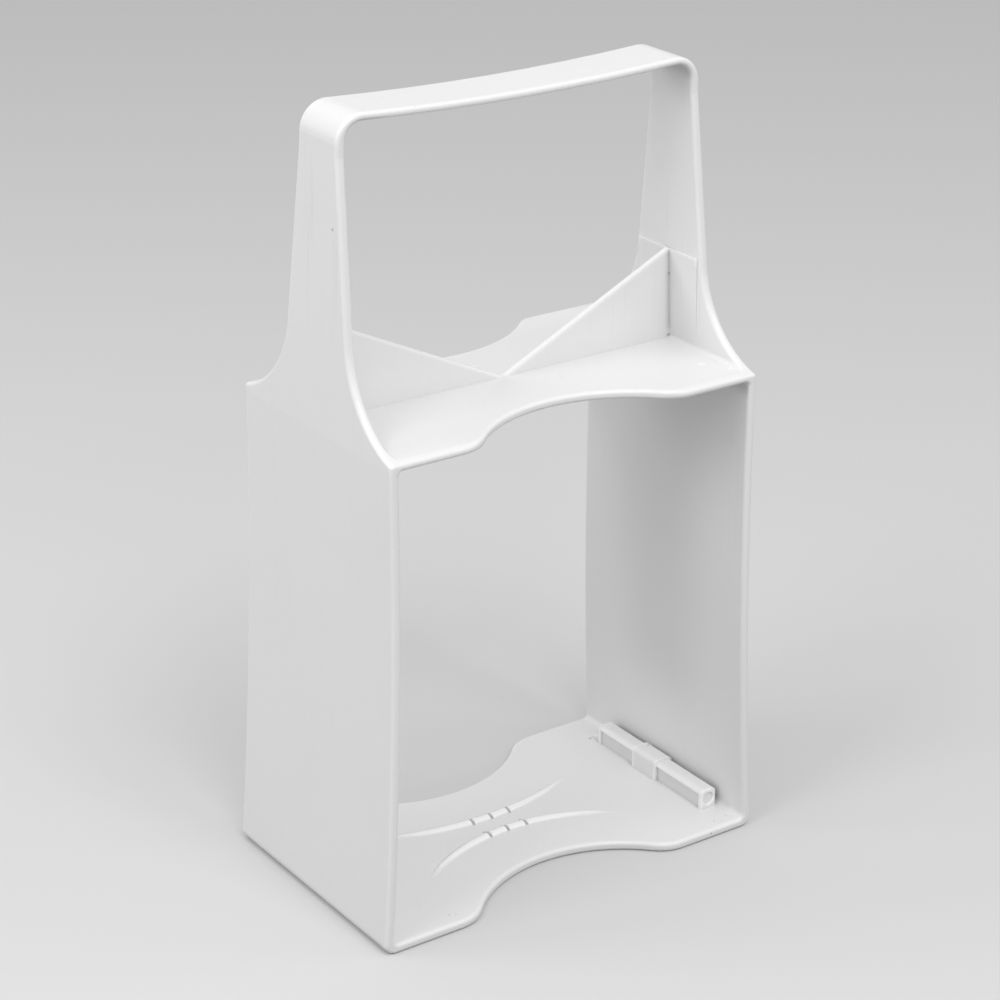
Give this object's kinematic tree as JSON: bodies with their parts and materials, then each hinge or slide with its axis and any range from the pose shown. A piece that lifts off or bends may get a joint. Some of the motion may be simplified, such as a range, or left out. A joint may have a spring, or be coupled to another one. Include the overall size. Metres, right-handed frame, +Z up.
{
  "type": "can caddy",
  "caption": "Moulded can caddy: an open frame of two walls, floor and shelf for a can, with shoulders that narrow to necks and a flat carrying strip on top.",
  "frame": {"origin": "centre of the flat underside, on the ground", "axes": "+X across the width towards the right wall, -Y towards the front of the bay, +Z up through the carrying strip"},
  "size_m": [0.1162, 0.0706, 0.2057],
  "materials": {
    "white_plastic": "white moulded polypropylene with a soft satin gloss"
  },
  "bodies": {
    "root": {"caddy": "white_plastic"}
  },
  "joints": []
}
